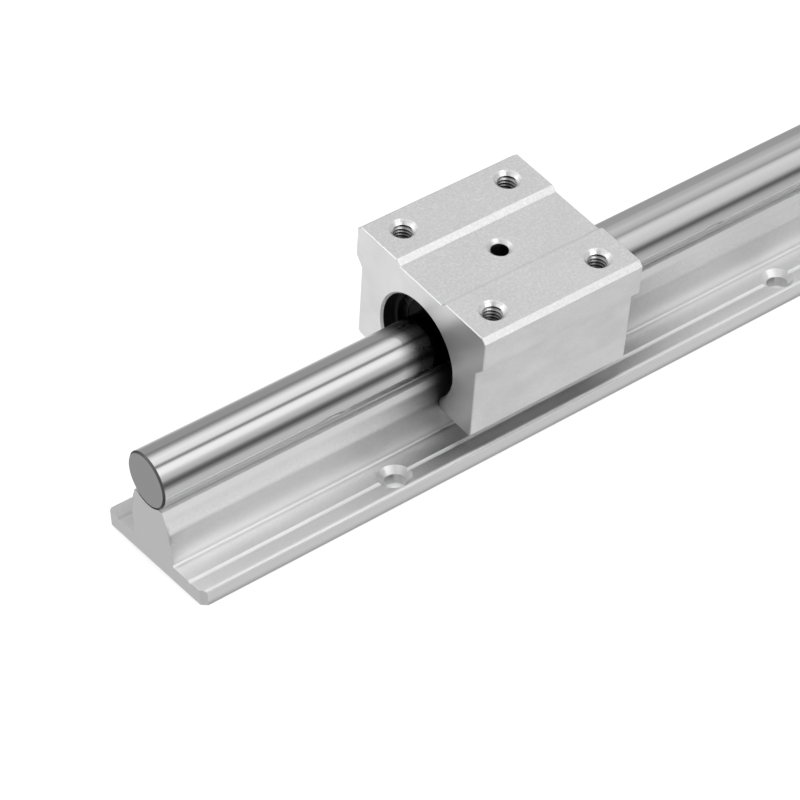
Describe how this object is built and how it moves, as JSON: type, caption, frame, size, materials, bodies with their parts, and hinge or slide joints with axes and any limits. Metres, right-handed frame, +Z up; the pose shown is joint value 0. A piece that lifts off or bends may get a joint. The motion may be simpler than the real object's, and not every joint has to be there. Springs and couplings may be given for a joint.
{
  "type": "supported round rail",
  "caption": "Round steel shaft on an extruded aluminium support, with an open ball bearing block that slides along it and leans a little about the shaft.",
  "frame": {"origin": "centre of the pattern of mounting holes, on the underside of the support", "axes": "+X along the rail, from the end that the block stands near to the other end; +Z up, from the underside to the shaft"},
  "size_m": [0.3, 0.0415, 0.0402],
  "materials": {
    "extruded_aluminium": "mill finish, drawn along the rail",
    "chromed_shaft": "ground, hard chromed and polished",
    "black_screw_steel": "black oxide",
    "bearing_steel": "ground",
    "cage_resin": "moulded",
    "seal_rubber": "moulded",
    "blasted_aluminium": "fine bead blasted, machined on its ends",
    "black_spring_steel": "phosphated"
  },
  "bodies": {
    "rail": {"support_rail": "extruded_aluminium", "shaft": "chromed_shaft", "shaft_screw_1": "black_screw_steel", "shaft_screw_2": "black_screw_steel", "shaft_screw_3": "black_screw_steel"},
    "bearing": {"bearing_shell": "bearing_steel", "ball_cage": "cage_resin", "bearing_balls": "bearing_steel", "end_seal_front": "seal_rubber", "end_seal_back": "seal_rubber"},
    "block": {"bearing_block": "blasted_aluminium", "retaining_ring_front": "black_spring_steel", "retaining_ring_back": "black_spring_steel"}
  },
  "joints": [
    {"name": "block_slide", "type": "slide", "parent": "rail", "child": "bearing", "axis": [1, 0, 0], "range_m": [-0.063, 0.1975]},
    {"name": "block_lean", "type": "hinge", "parent": "bearing", "child": "block", "pos_m": [-0.0652, 0, 0.02046], "axis": [-1, 0, 0], "range_deg": [0, 17]}
  ]
}
